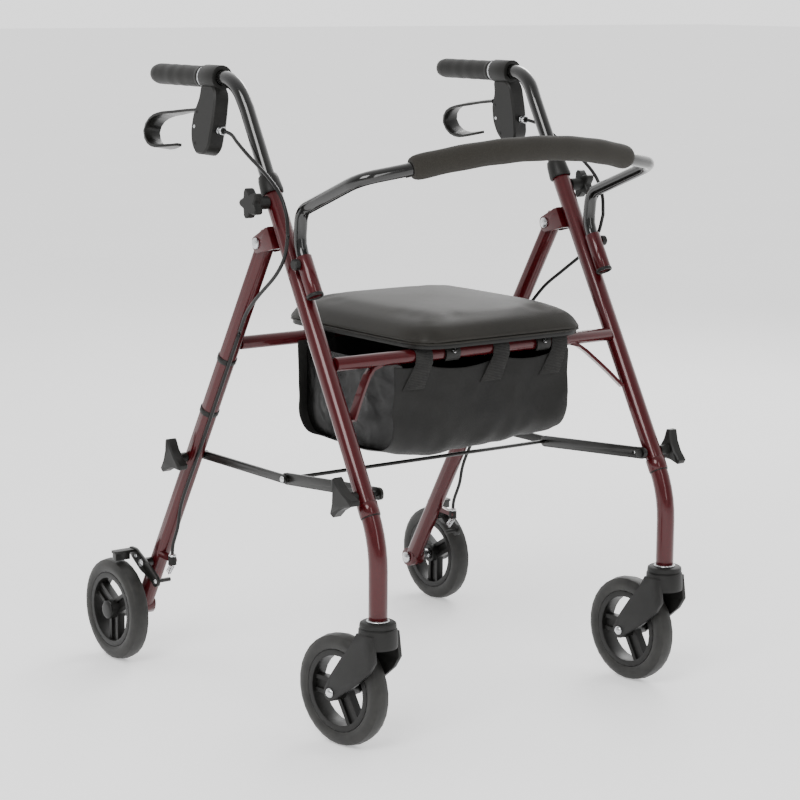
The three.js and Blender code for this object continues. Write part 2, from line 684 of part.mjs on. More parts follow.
// A hand knob with three blunt points and hollow sides on its through bolt; the apex points along turnDeg.
function braceKnob(linkX, turnDeg) {
  const shape = new THREE.Shape();
  const tip = 29;
  const blunt = 0.13;
  for (let k = 0; k < 3; k += 1) {
    const apex = (2 * Math.PI * k) / 3;
    const start = [tip * Math.cos(apex - blunt), tip * Math.sin(apex - blunt)];
    const end = [tip * Math.cos(apex + blunt), tip * Math.sin(apex + blunt)];
    const hollow = [9 * Math.cos(apex + Math.PI / 3), 9 * Math.sin(apex + Math.PI / 3)];
    const next = apex + (2 * Math.PI) / 3 - blunt;
    if (k === 0) {
      shape.moveTo(...start);
    }
    shape.lineTo(...end);
    shape.quadraticCurveTo(...hollow, tip * Math.cos(next), tip * Math.sin(next));
  }
  const head = plateX(shape, LEG_X + 27, LEG_X + 43, 2);
  const neck = rodX(LEG_X + LEG_R + GAP, LEG_X + 30, 0, 0, 7);
  const inboard = linkX - LINK_T / 2 - GAP;
  const stud = rodX(inboard - 1, LEG_X + 30, 0, 0, STUD_R, 16);
  const boltHead = rodX(inboard - 3.6, inboard, 0, 0, 6, 16);
  return union(head, neck, stud, boltHead).rotateX(THREE.MathUtils.degToRad(turnDeg));
}

// ---- backrest and seat ----

function padLine(x) {
  const share = (x / 184) ** 2;
  return vec(x, -318.2 + 25.5 * share, 784.1 - 20.4 * share);
}

function padPoints(half, count) {
  return Array.from({ length: count + 1 }, (_, i) => padLine(half - (2 * half * i) / count));
}

function backrestTube() {
  const arm = bent([
    [onSleeve(-60)], [onSleeve(10), 40], [vec(LEG_X, -145, 701), 22], [vec(LEG_X, -272.8, 751), 30],
    [padLine(PAD_HALF + 8)],
  ], 20);
  const mirrored = arm.slice().reverse().map((point) => vec(-point.x, point.y, point.z));
  return pipe([...arm, ...padPoints(PAD_HALF, 8), ...mirrored], BACKREST_R, 12);
}

function backrestPad() {
  const ring = disc(PAD_R, 14);
  ring.holes.push(new THREE.Path(disc(BACKREST_R + 0.8, 10).getPoints()));
  return sweep(ring, padPoints(PAD_HALF, 8));
}

function seatPad() {
  const { x, yFront, yRear, width, corner, z, height } = SEAT;
  return slab(x - width / 2, x + width / 2, yFront, yRear, z, z + height, corner, 9);
}

function seatBoard() {
  const { x, yFront, yRear, width, corner, z } = SEAT;
  const railY = frontLegY(RAIL_Z) - 4.8;
  const top = z - GAP;
  const half = width / 2 - 3;
  const board = slab(x - half, x + half, yFront + 3, yRear - 3, top - BOARD_T, top, corner - 3);
  const parts = [board];
  for (const clipX of CLIP_X) {
    const ring = rodX(clipX - 12, clipX + 12, railY, RAIL_Z, RAIL_R + GAP + 3.4, 18);
    const bore = rodX(clipX - 20, clipX + 20, railY, RAIL_Z, RAIL_R + GAP, 18);
    const mouth = box(clipX - 20, clipX + 20, railY - 8, railY + 8, RAIL_Z - 20, RAIL_Z);
    const lid = box(clipX - 20, clipX + 20, railY - 30, railY + 30, top, top + 20);
    const screw = rodX(clipX - 3, clipX + 3, railY - 15, RAIL_Z + 4, 2.5, 10);
    parts.push(cut(union(ring, screw), bore, mouth, lid));
  }
  return union(...parts);
}

// ---- brake cables ----

const cableOnLeg = (z) => onRearLeg(z, CABLE_OFFSET).setX(CABLE_X);
const FERRULE_END = vec(GRIP_X + 72 * Math.sin(THREE.MathUtils.degToRad(BRAKE_SWING_DEG)), 19, GRIP_Z - 71.1);

function upperCable() {
  const route = [
    FERRULE_END, vec(271, -2, 793), vec(275, -22, 784), vec(277, -52, 768), vec(278, -97, 745),
    vec(278, -128, 722), vec(278, -143, 696), vec(278, -146, 668), vec(277, -137, 640), vec(276, -114, 613),
    vec(273, -68, 580), vec(268, -32, 553), cableOnLeg(CABLE_SPLIT_Z),
  ];
  return pipe(curvePoints(route, 28), CABLE_R, 8);
}

function lowerCable() {
  const start = cableOnLeg(CABLE_SPLIT_Z).addScaledVector(UP_REAR, -0.8);
  const route = [
    start, cableOnLeg(480), cableOnLeg(400), cableOnLeg(330), cableOnLeg(262), vec(CABLE_X, 160, 216),
    vec(CABLE_X, 173, 188), vec(CABLE_X, ADJUSTER.y, ADJUSTER.z + 5),
  ];
  return pipe(curvePoints(route, 14), CABLE_R, 8);
}

// ---- the whole walker ----

const walker = new THREE.Group();
walker.name = 'rollator_walker';

const frontFrame = new THREE.Group();
const rearFrame = new THREE.Group();
const seat = new THREE.Group();
const backrest = new THREE.Group();
walker.add(frontFrame, rearFrame, seat, backrest);

frontFrame.add(piece('front_rail', frontRail(), 'burgundy'));
frontFrame.add(piece('storage_bag', storageBag(), 'nylon'));
rearFrame.add(piece('rear_rail', rearRail(), 'burgundy'));
rearFrame.add(piece('cross_rod', crossRod(), 'blackSteel'));
seat.add(piece('seat_pad', seatPad(), 'vinyl'));
seat.add(piece('seat_board', seatBoard(), 'blackPlastic'));
backrest.add(piece('backrest_tube', backrestTube(), 'blackTube'));
backrest.add(piece('backrest_pad', backrestPad(), 'foam'));

const KNOB_TURN_DEG = {
  right: { front: 62, rear: 78 },
  left: { front: 93, rear: 90 },
};

for (const side of ['right', 'left']) {
  const sign = side === 'right' ? -1 : 1;
  const add = (group, name, geometry, finish) => {
    group.add(piece(`${name}_${side}`, forSide(geometry, side), finish));
  };

  add(frontFrame, 'front_leg', frontLeg(), 'burgundy');
  add(frontFrame, 'leg_collar', legCollar(), 'blackPlastic');
  add(frontFrame, 'pivot_bracket', pivotBracket(), 'burgundy');
  add(frontFrame, 'pivot_bolt', pivotBolt(), 'steel');
  add(frontFrame, 'backrest_sleeve', backrestSleeve(), 'burgundy');
  add(frontFrame, 'backrest_plunger', plunger(), 'blackPlastic');
  add(frontFrame, 'upper_cable', upperCable(), 'blackPlastic');

  add(frontFrame, 'handle_tube', handleTube(), 'blackTube');
  add(frontFrame, 'hand_grip', handGrip(), 'blackPlastic');
  add(frontFrame, 'brake_housing', brakeHousing(), 'blackPlastic');
  add(frontFrame, 'brake_lever', brakeLever(), 'blackSteel');
  add(frontFrame, 'star_knob', starKnob(), 'blackPlastic');

  add(rearFrame, 'rear_leg', rearLeg(), 'burgundy');
  add(rearFrame, 'rear_axle_bolt', rearAxleBolt(), 'steel');
  add(rearFrame, 'lower_cable', lowerCable(), 'blackPlastic');
  add(rearFrame, 'brake_arm', brakeArm(), 'blackSteel');

  add(rearFrame, 'brace_front_link', braceFrontLink(), 'blackSteel');
  add(rearFrame, 'brace_rear_link', braceRearLink(), 'blackSteel');
  const knobs = { front: [FRONT_LINK_X, BRACE_FRONT], rear: [REAR_LINK_X, BRACE_REAR] };
  for (const [end, [linkX, at]] of Object.entries(knobs)) {
    const knob = forSide(braceKnob(linkX, KNOB_TURN_DEG[side][end]), side);
    const mesh = piece(`brace_knob_${end}_${side}`, knob, 'blackPlastic');
    mesh.position.set(0, at.y, at.z);
    rearFrame.add(mesh);
  }

  const rearWheel = new THREE.Group();
  rearWheel.position.set(sign * REAR_WHEEL_X, AXLE_Y, WHEEL_R);
  rearWheel.add(piece(`rear_tyre_${side}`, tyre(), 'tyre'));
  rearWheel.add(piece(`rear_rim_${side}`, rim(TYRE_HALF + 1, 14, 5 + GAP, 180), 'blackPlastic'));
  rearFrame.add(rearWheel);

  const caster = new THREE.Group();
  caster.position.set(sign * LEG_X, CASTER_Y, 0);
  caster.rotation.z = THREE.MathUtils.degToRad(CASTER_SWIVEL_DEG[side]);
  caster.add(piece(`caster_fork_${side}`, casterFork(), 'blackPlastic'));
  caster.add(piece(`caster_axle_${side}`, casterAxle(), 'steel'));
  const casterWheel = new THREE.Group();
  casterWheel.position.set(0, CASTER_TRAIL, WHEEL_R);
  casterWheel.add(piece(`caster_tyre_${side}`, tyre(), 'tyre'));
  casterWheel.add(piece(`caster_rim_${side}`, rim(FORK_ARM_X - 3 - 2 * GAP, 12, 4 + GAP, -90), 'blackPlastic'));
  caster.add(casterWheel);
  walker.add(caster);
}

export default walker;
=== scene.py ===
"""Looks for a folding rollator walker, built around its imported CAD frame.

Metres, +Z up, the casters are at the -Y end and the user's left is +X. Hard parts are the CAD nodes with
procedural finishes; the soft goods, cables, grips and small fittings are pieces made here.
"""

import json
import math

import bmesh
import bpy
from mathutils import Matrix, Quaternion, Vector, noise


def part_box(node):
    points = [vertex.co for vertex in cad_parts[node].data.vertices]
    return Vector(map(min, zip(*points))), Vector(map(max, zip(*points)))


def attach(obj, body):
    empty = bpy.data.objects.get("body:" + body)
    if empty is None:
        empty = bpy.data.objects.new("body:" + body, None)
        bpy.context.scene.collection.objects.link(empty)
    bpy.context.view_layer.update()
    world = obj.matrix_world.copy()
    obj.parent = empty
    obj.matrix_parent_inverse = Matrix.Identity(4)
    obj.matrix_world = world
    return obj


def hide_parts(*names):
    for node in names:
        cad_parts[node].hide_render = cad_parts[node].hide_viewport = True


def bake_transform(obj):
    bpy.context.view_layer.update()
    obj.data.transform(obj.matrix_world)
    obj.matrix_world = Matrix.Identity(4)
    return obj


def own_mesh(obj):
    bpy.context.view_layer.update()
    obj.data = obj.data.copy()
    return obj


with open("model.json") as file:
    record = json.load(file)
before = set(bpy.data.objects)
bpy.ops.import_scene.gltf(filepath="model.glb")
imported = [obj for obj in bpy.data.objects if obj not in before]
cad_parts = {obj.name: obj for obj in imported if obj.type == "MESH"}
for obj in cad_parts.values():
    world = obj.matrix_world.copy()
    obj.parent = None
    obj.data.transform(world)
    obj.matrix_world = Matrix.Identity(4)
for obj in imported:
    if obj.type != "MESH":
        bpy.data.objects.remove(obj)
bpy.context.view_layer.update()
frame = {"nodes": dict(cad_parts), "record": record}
NODES = frame["nodes"]
JOINTS = {row["name"]: row for row in frame["record"]["behaviour"]["joints"]}
SIDES = {"right": -1, "left": 1}

MM = 0.001
RAIL_R = 9.5 * MM
LEG_R = 12.7 * MM
FRONT_SLOPE = 0.56  # run for each unit of rise
REAR_SLOPE = 0.5756
LEAN = math.atan(FRONT_SLOPE)
UP_FRONT = Vector((0, math.sin(LEAN), math.cos(LEAN)))
UP_REAR = Vector((0, -REAR_SLOPE, 1)).normalized()


def middle(node):
    lo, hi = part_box(node)
    return (lo + hi) / 2


# ---------------------------------------------------------------- camera, floor and light


def camera():
    """The photograph's viewpoint, from a fit to matched points of the walker."""
    lens = 105.46
    distance = 3.3854
    right = Vector((0.797, -0.604, 0.008)).normalized()
    back = Vector((-0.596, -0.784, 0.176)).normalized()
    up = back.cross(right).normalized()
    right = up.cross(back).normalized()
    target = Vector((0, -0.0268, 0.4043))
    data = bpy.data.cameras.new("camera")
    data.sensor_width = 36
    data.lens = lens
    data.clip_end = 60
    obj = bpy.data.objects.new("camera", data)
    bpy.context.scene.collection.objects.link(obj)
    turn = Matrix((right, up, back)).transposed().to_4x4()
    obj.matrix_world = Matrix.Translation(target + back * distance) @ turn
    bpy.context.scene.camera = obj


def area_light(name, place, aim, size, power, colour=(1, 1, 1)):
    data = bpy.data.lights.new(name, "AREA")
    data.shape = "RECTANGLE"
    data.size, data.size_y = size
    data.energy = power
    data.color = colour
    obj = bpy.data.objects.new(name, data)
    bpy.context.scene.collection.objects.link(obj)
    obj.location = place
    obj.rotation_mode = "QUATERNION"
    obj.rotation_quaternion = (Vector(aim) - Vector(place)).to_track_quat("-Z", "Y")


def lit_backdrop(world):
    """A soft surround that is brightest behind the walker and dimmer on the photographer's side."""
    tree = world.node_tree
    background = tree.nodes["Background"]
    place = tree.nodes.new("ShaderNodeTexCoord")
    facing = tree.nodes.new("ShaderNodeVectorMath")
    facing.operation = "DOT_PRODUCT"
    facing.inputs[1].default_value = (0.6, 0.79, 0.12)
    tree.links.new(place.outputs["Generated"], facing.inputs[0])
    ramp = tree.nodes.new("ShaderNodeMapRange")
    ramp.inputs["From Min"].default_value = -0.6
    ramp.inputs["From Max"].default_value = 0.7
    ramp.inputs["To Min"].default_value = 0.42
    ramp.inputs["To Max"].default_value = 1.75
    tree.links.new(facing.outputs["Value"], ramp.inputs["Value"])
    tree.links.new(ramp.outputs["Result"], background.inputs["Strength"])
    background.inputs["Color"].default_value = (1.0, 1.0, 1.0, 1)


def studio():
    world = bpy.data.worlds.new("studio")
    bpy.context.scene.world = world
    world.use_nodes = True
    lit_backdrop(world)
    reach = 40
    corners = [(-reach, -reach, 0), (reach, -reach, 0), (reach, reach, 0), (-reach, reach, 0)]
    floor = mesh_object("floor", corners, [(0, 1, 2, 3)], smooth=False)
    dress(floor, "floor")
    area_light("key", (-2.4, -1.6, 2.6), (0, 0, 0.5), (1.6, 1.6), 80)
    area_light("front", (-0.7, -3.1, 1.5), (0, 0, 0.45), (0.5, 1.8), 15)
    area_light("rim", (2.4, 1.6, 2.2), (0, 0, 0.6), (1.2, 1.2), 40)


# ---------------------------------------------------------------- materials


def shader(name, **values):
    made = bpy.data.materials.new(name)
    made.use_nodes = True
    tree = made.node_tree
    bsdf = tree.nodes["Principled BSDF"]
    for key, value in values.items():
        bsdf.inputs[key.replace("_", " ")].default_value = value
    return made, tree, bsdf


def texture(tree, kind, scale, **values):
    place = tree.nodes.get("place") or tree.nodes.new("ShaderNodeTexCoord")
    place.name = "place"
    node = tree.nodes.new(kind)
    tree.links.new(place.outputs["Object"], node.inputs["Vector"])
    node.inputs["Scale"].default_value = scale
    for key, value in values.items():
        node.inputs[key.replace("_", " ")].default_value = value
    return node


def tint(tree, bsdf, factor, dark, light, low=0.35, high=0.65):
    ramp = tree.nodes.new("ShaderNodeValToRGB")
    ramp.color_ramp.elements[0].position = low
    ramp.color_ramp.elements[0].color = (*dark, 1)
    ramp.color_ramp.elements[1].position = high
    ramp.color_ramp.elements[1].color = (*light, 1)
    tree.links.new(factor, ramp.inputs["Fac"])
    tree.links.new(ramp.outputs["Color"], bsdf.inputs["Base Color"])
    return ramp


def vary_roughness(tree, bsdf, factor, low, high):
    span = tree.nodes.new("ShaderNodeMapRange")
    span.inputs["To Min"].default_value = low
    span.inputs["To Max"].default_value = high
    tree.links.new(factor, span.inputs["Value"])
    tree.links.new(span.outputs["Result"], bsdf.inputs["Roughness"])


def bump(tree, bsdf, height, distance, strength=1.0):
    node = tree.nodes.new("ShaderNodeBump")
    node.inputs["Distance"].default_value = distance
    node.inputs["Strength"].default_value = strength
    previous = bsdf.inputs["Normal"].links
    if previous:
        tree.links.new(previous[0].from_socket, node.inputs["Normal"])
    tree.links.new(height, node.inputs["Height"])
    tree.links.new(node.outputs["Normal"], bsdf.inputs["Normal"])


def math_node(tree, operation, a, b=None):
    node = tree.nodes.new("ShaderNodeMath")
    node.operation = operation
    for i, value in enumerate((a, b)):
        if value is None:
            continue
        if isinstance(value, (int, float)):
            node.inputs[i].default_value = value
        else:
            tree.links.new(value, node.inputs[i])
    return node.outputs[0]


def weave_height(tree, pitch):
    """A plain weave, up and down in turn, on any surface direction."""
    place = tree.nodes.get("place") or tree.nodes.new("ShaderNodeTexCoord")
    place.name = "place"
    split = tree.nodes.new("ShaderNodeSeparateXYZ")
    tree.links.new(place.outputs["Object"], split.inputs[0])
    wave = 2 * math.pi / pitch
    waves = [math_node(tree, "SINE", math_node(tree, "MULTIPLY", split.outputs[i], wave)) for i in range(3)]
    pairs = [math_node(tree, "MULTIPLY", waves[a], waves[b]) for a, b in ((0, 1), (1, 2), (0, 2))]
    return math_node(tree, "ADD", math_node(tree, "ADD", pairs[0], pairs[1]), pairs[2])


def burgundy():
    made, tree, bsdf = shader(
        "burgundy_paint", Metallic=0.2, Specular_IOR_Level=0.22, Coat_Weight=0.5, Coat_Roughness=0.05
    )
    flakes = texture(tree, "ShaderNodeTexNoise", 1400, Detail=2.0)
    tint(tree, bsdf, flakes.outputs["Fac"], (0.036, 0.0014, 0.0026), (0.066, 0.003, 0.005))
    cloud = texture(tree, "ShaderNodeTexNoise", 18, Detail=3.0)
    vary_roughness(tree, bsdf, cloud.outputs["Fac"], 0.24, 0.36)
    bump(tree, bsdf, texture(tree, "ShaderNodeTexNoise", 260, Detail=2.0).outputs["Fac"], 0.00004)
    return made


def black_gloss(name, base, rough, coat):
    made, tree, bsdf = shader(
        name, Metallic=0.0, Coat_Weight=coat, Coat_Roughness=0.05, Specular_IOR_Level=0.3
    )
    cloud = texture(tree, "ShaderNodeTexNoise", 30, Detail=4.0)
    tint(tree, bsdf, cloud.outputs["Fac"], tuple(c * 0.8 for c in base), tuple(c * 1.25 for c in base))
    vary_roughness(tree, bsdf, cloud.outputs["Fac"], rough * 0.8, rough * 1.3)
    bump(tree, bsdf, texture(tree, "ShaderNodeTexNoise", 420, Detail=3.0).outputs["Fac"], 0.00003)
    return made


def plastic(name, base, rough, grain):
    made, tree, bsdf = shader(name, Metallic=0.0, Specular_IOR_Level=0.3)
    cloud = texture(tree, "ShaderNodeTexNoise", 40, Detail=5.0)
    tint(tree, bsdf, cloud.outputs["Fac"], tuple(c * 0.75 for c in base), tuple(c * 1.3 for c in base))
    vary_roughness(tree, bsdf, cloud.outputs["Fac"], rough * 0.85, rough * 1.2)
    bump(tree, bsdf, texture(tree, "ShaderNodeTexNoise", 1500, Detail=2.0).outputs["Fac"], grain)
    return made


def steel():
    made, tree, bsdf = shader("bright_steel", Metallic=1.0)
    brushed = texture(tree, "ShaderNodeTexNoise", 700, Detail=3.0)
    tint(tree, bsdf, brushed.outputs["Fac"], (0.42, 0.43, 0.44), (0.74, 0.75, 0.76))
    vary_roughness(tree, bsdf, brushed.outputs["Fac"], 0.18, 0.36)
    return made


def vinyl():
    made, tree, bsdf = shader("seat_vinyl", Metallic=0.0, Specular_IOR_Level=0.24)
    grain = texture(tree, "ShaderNodeTexVoronoi", 620)
    cloud = texture(tree, "ShaderNodeTexNoise", 9, Detail=6.0)
    tint(tree, bsdf, cloud.outputs["Fac"], (0.0118, 0.0106, 0.0084), (0.0190, 0.0172, 0.0138))
    vary_roughness(tree, bsdf, cloud.outputs["Fac"], 0.44, 0.56)
    bump(tree, bsdf, grain.outputs["Distance"], 0.00018, 0.7)
    bump(tree, bsdf, texture(tree, "ShaderNodeTexNoise", 60, Detail=4.0).outputs["Fac"], 0.0004, 0.35)
    return made


def foam():
    made, tree, bsdf = shader(
        "pad_foam", Metallic=0.0, Sheen_Weight=0.04, Sheen_Roughness=0.6, Specular_IOR_Level=0.2
    )
    cells = texture(tree, "ShaderNodeTexNoise", 900, Detail=3.0)
    tint(tree, bsdf, cells.outputs["Fac"], (0.0165, 0.0148, 0.0118), (0.027, 0.0245, 0.0200))
    vary_roughness(tree, bsdf, cells.outputs["Fac"], 0.72, 0.9)
    bump(tree, bsdf, cells.outputs["Fac"], 0.00025, 0.8)
    return made


def nylon(name, base, rough, sheen, creases):
    made, tree, bsdf = shader(
        name, Metallic=0.0, Sheen_Weight=sheen, Sheen_Roughness=0.45, Specular_IOR_Level=0.32
    )
    cloud = texture(tree, "ShaderNodeTexNoise", 26, Detail=6.0)
    tint(tree, bsdf, cloud.outputs["Fac"], tuple(c * 0.7 for c in base), tuple(c * 1.35 for c in base))
    vary_roughness(tree, bsdf, cloud.outputs["Fac"], rough * 0.85, rough * 1.15)
    bump(tree, bsdf, weave_height(tree, 0.0011), 0.00012, 0.6)
    if creases:
        folds = texture(tree, "ShaderNodeTexNoise", 15, Detail=1.5, Distortion=0.9)
        bump(tree, bsdf, folds.outputs["Fac"], creases, 0.9)
    return made


def webbing():
    made, tree, bsdf = shader(
        "strap_webbing", Metallic=0.0, Sheen_Weight=0.06, Sheen_Roughness=0.4, Specular_IOR_Level=0.3
    )
    cloud = texture(tree, "ShaderNodeTexNoise", 60, Detail=4.0)
    tint(tree, bsdf, cloud.outputs["Fac"], (0.006, 0.0058, 0.0052), (0.014, 0.0135, 0.0122))
    vary_roughness(tree, bsdf, cloud.outputs["Fac"], 0.6, 0.75)
    bump(tree, bsdf, weave_height(tree, 0.0022), 0.0003, 0.8)
    return made


def tyre_rubber():
    made, tree, bsdf = shader("tyre_rubber", Metallic=0.0, Specular_IOR_Level=0.35)
    cloud = texture(tree, "ShaderNodeTexNoise", 55, Detail=6.0)
    tint(tree, bsdf, cloud.outputs["Fac"], (0.013, 0.0128, 0.0118), (0.024, 0.0235, 0.0215))
    vary_roughness(tree, bsdf, cloud.outputs["Fac"], 0.42, 0.6)
    bump(tree, bsdf, texture(tree, "ShaderNodeTexNoise", 800, Detail=2.0).outputs["Fac"], 0.00015, 0.6)
    return made


def pale_floor():
    made, tree, bsdf = shader(
        "pale_floor", Roughness=0.9, Specular_IOR_Level=0.1,
        Emission_Color=(1, 1, 1, 1), Emission_Strength=0.45,
    )
    cloud = texture(tree, "ShaderNodeTexNoise", 1.5, Detail=2.0)
    tint(tree, bsdf, cloud.outputs["Fac"], (0.90, 0.90, 0.90), (0.92, 0.92, 0.92))
    return made


MATERIALS = {
    "burgundy_steel": burgundy(),
    "black_tube": black_gloss("black_tube", (0.0028, 0.0027, 0.0024), 0.2, 0.8),
    "black_steel": black_gloss("black_steel", (0.0052, 0.0050, 0.0042), 0.36, 0.15),
    "black_plastic": plastic("black_plastic", (0.0066, 0.0064, 0.0056), 0.46, 0.00006),
    "fork_plastic": plastic("fork_plastic", (0.0085, 0.0083, 0.0078), 0.5, 0.00008),
    "grip_rubber": plastic("grip_rubber", (0.0060, 0.0058, 0.0048), 0.5, 0.00012),
    "rim_plastic": plastic("rim_plastic", (0.0060, 0.0058, 0.0052), 0.42, 0.00005),
    "cable_sheath": plastic("cable_sheath", (0.0034, 0.0033, 0.0030), 0.35, 0.00003),
    "tyre_rubber": tyre_rubber(),
    "bright_steel": steel(),
    "seat_vinyl": vinyl(),
    "foam": foam(),
    "bag_nylon": nylon("bag_nylon", (0.0046, 0.0044, 0.0037), 0.6, 0.02, 0.0016),
    "side_nylon": nylon("side_nylon", (0.0030, 0.0030, 0.0028), 0.24, 0.0, 0.014),
    "webbing": webbing(),
    "floor": pale_floor(),
}
SLOT_OF = {row["node"]: row["material_slot"] for row in frame["record"]["subparts"]}


def dress(obj, slot):
    obj.data.materials.clear()
    obj.data.materials.append(MATERIALS[slot])
    return obj


# ---------------------------------------------------------------- mesh helpers


def mesh_object(name, verts, faces, smooth=True):
    data = bpy.data.meshes.new(name)
    data.from_pydata([tuple(v) for v in verts], [], faces)
    data.update()
    if smooth:
        data.shade_smooth()
    obj = bpy.data.objects.new(name, data)
    bpy.context.scene.collection.objects.link(obj)
    return obj


def modifier(obj, kind, **values):
    made = obj.modifiers.new(kind.lower(), kind)
    for key, value in values.items():
        setattr(made, key, value)
    return made


def apply_modifiers(obj):
    graph = bpy.context.evaluated_depsgraph_get()
    data = bpy.data.meshes.new_from_object(obj.evaluated_get(graph))
    obj.modifiers.clear()
    obj.data = data
    return obj


def place_piece(obj, slot, body, material=None, replaces=()):
    dress(obj, material or slot)
    if body:
        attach(obj, body)
    if replaces:
        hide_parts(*replaces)
    return obj


def smooth_line(points, per_span=8):
    """A Catmull-Rom curve through the points, for a swept tube."""
    pts = [Vector(p) for p in points]
    padded = [2 * pts[0] - pts[1], *pts, 2 * pts[-1] - pts[-2]]
    line = []
    for i in range(1, len(padded) - 2):
        a, b, c, d = padded[i - 1 : i + 3]
        for k in range(per_span):
            t = k / per_span
            square = (2 * a - 5 * b + 4 * c - d) * t**2
            cube = (3 * b - a - 3 * c + d) * t**3
            line.append(0.5 * (2 * b + (c - a) * t + square + cube))
    line.append(pts[-1])
    return line


def frames_along(line):
    """Tangent and two cross directions at each point, without twist."""
    tangents = []
    for i in range(len(line)):
        ahead = line[min(i + 1, len(line) - 1)] - line[max(i - 1, 0)]
        tangents.append(ahead.normalized())
    side = tangents[0].orthogonal().normalized()
    rows = []
    for i, tangent in enumerate(tangents):
        if i:
            side = (tangents[i - 1].rotation_difference(tangent) @ side).normalized()
        side = (side - tangent * side.dot(tangent)).normalized()
        rows.append((tangent, side, tangent.cross(side)))
    return rows


def tube(name, line, radius, sides=16):
    """A closed tube; radius is a number or a function of the share along it."""
    verts, faces = [], []
    rows = frames_along(line)
    last = len(line) - 1
    for i, (point, (_, u, v)) in enumerate(zip(line, rows)):
        r = radius(i / last) if callable(radius) else radius
        for k in range(sides):
            angle = 2 * math.pi * k / sides
            verts.append(point + (u * math.cos(angle) + v * math.sin(angle)) * r)
    for i in range(last):
        for k in range(sides):
            a, b = i * sides + k, i * sides + (k + 1) % sides
            faces.append((a, b, b + sides, a + sides))
    faces.append(tuple(range(sides - 1, -1, -1)))
    faces.append(tuple(last * sides + k for k in range(sides)))
    return mesh_object(name, verts, faces)


def turned(name, profile, origin, axis, segments=32):
    """A closed ring or a solid of revolution: profile is (along, radius), both in metres."""
    axis = Vector(axis).normalized()
    u = axis.orthogonal().normalized()
    v = axis.cross(u)
    origin = Vector(origin)
    solid = profile[0][1] == 0
    body = profile[1:-1] if solid else profile
    verts, faces = [], []
    for along, r in body:
        for k in range(segments):
            angle = 2 * math.pi * k / segments
            verts.append(origin + axis * along + (u * math.cos(angle) + v * math.sin(angle)) * r)
    count = len(body)
    for i in range(count - 1 if solid else count):
        j = (i + 1) % count
        for k in range(segments):
            m = (k + 1) % segments
            faces.append((i * segments + k, i * segments + m, j * segments + m, j * segments + k))
    if solid:
        for end, along in ((0, profile[0][0]), (count - 1, profile[-1][0])):
            verts.append(origin + axis * along)
            hub = len(verts) - 1
            for k in range(segments):
                m = (k + 1) % segments
                pair = (end * segments + k, end * segments + m)
                faces.append((hub, *reversed(pair)) if end == 0 else (hub, *pair))
    obj = mesh_object(name, verts, faces)
    tidy_normals(obj)
    return obj


def tidy_normals(obj):
    data = bmesh.new()
    data.from_mesh(obj.data)
    bmesh.ops.recalc_face_normals(data, faces=data.faces)
    data.to_mesh(obj.data)
    data.free()


def ribbon(name, line, across, width, thickness):
    """A flat strap along the line. Its width runs across, and is a function of the share along it."""
    verts, faces = [], []
    across = Vector(across).normalized()
    for i, point in enumerate(line):
        tangent = (line[min(i + 1, len(line) - 1)] - line[max(i - 1, 0)]).normalized()
        normal = tangent.cross(across).normalized() * thickness / 2
        half = across * width(i / (len(line) - 1)) / 2
        verts += [point - half - normal, point + half - normal]
        verts += [point + half + normal, point - half + normal]
    for i in range(len(line) - 1):
        for k in range(4):
            a, b = 4 * i + k, 4 * i + (k + 1) % 4
            faces.append((a, b, b + 4, a + 4))
    faces.append((3, 2, 1, 0))
    end = 4 * (len(line) - 1)
    faces.append((end, end + 1, end + 2, end + 3))
    obj = mesh_object(name, verts, faces)
    tidy_normals(obj)
    modifier(obj, "BEVEL", width=thickness * 0.3, segments=2, limit_method="ANGLE", angle_limit=0.8)
    return obj


# ---------------------------------------------------------------- CAD nodes


def finish_hard_parts():
    for name, obj in NODES.items():
        dress(obj, "fork_plastic" if name.startswith("caster_fork") else SLOT_OF[name])
        obj.data.shade_smooth()
        modifier(obj, "WELD", merge_threshold=1e-5)
        modifier(
            obj, "BEVEL", width=0.0007, segments=2, limit_method="ANGLE", angle_limit=0.85,
            harden_normals=False,
        )
        modifier(obj, "EDGE_SPLIT", split_angle=0.7)


# ---------------------------------------------------------------- soft goods


def rounded_rect(x, y, corner, angle):
    """The point of a rounded rectangle's outline, half sizes x and y, in the direction of the angle."""
    direction = Vector((math.cos(angle), math.sin(angle)))
    power = 2 + 2.4 * (min(x, y) / corner)
    scale = (abs(direction.x / x) ** power + abs(direction.y / y) ** power) ** (-1 / power)
    return direction * scale


SEAT_CORNER = 0.05
WELT_INSET = 1.6 * MM
SHEET_THICKNESS = 1.2 * MM


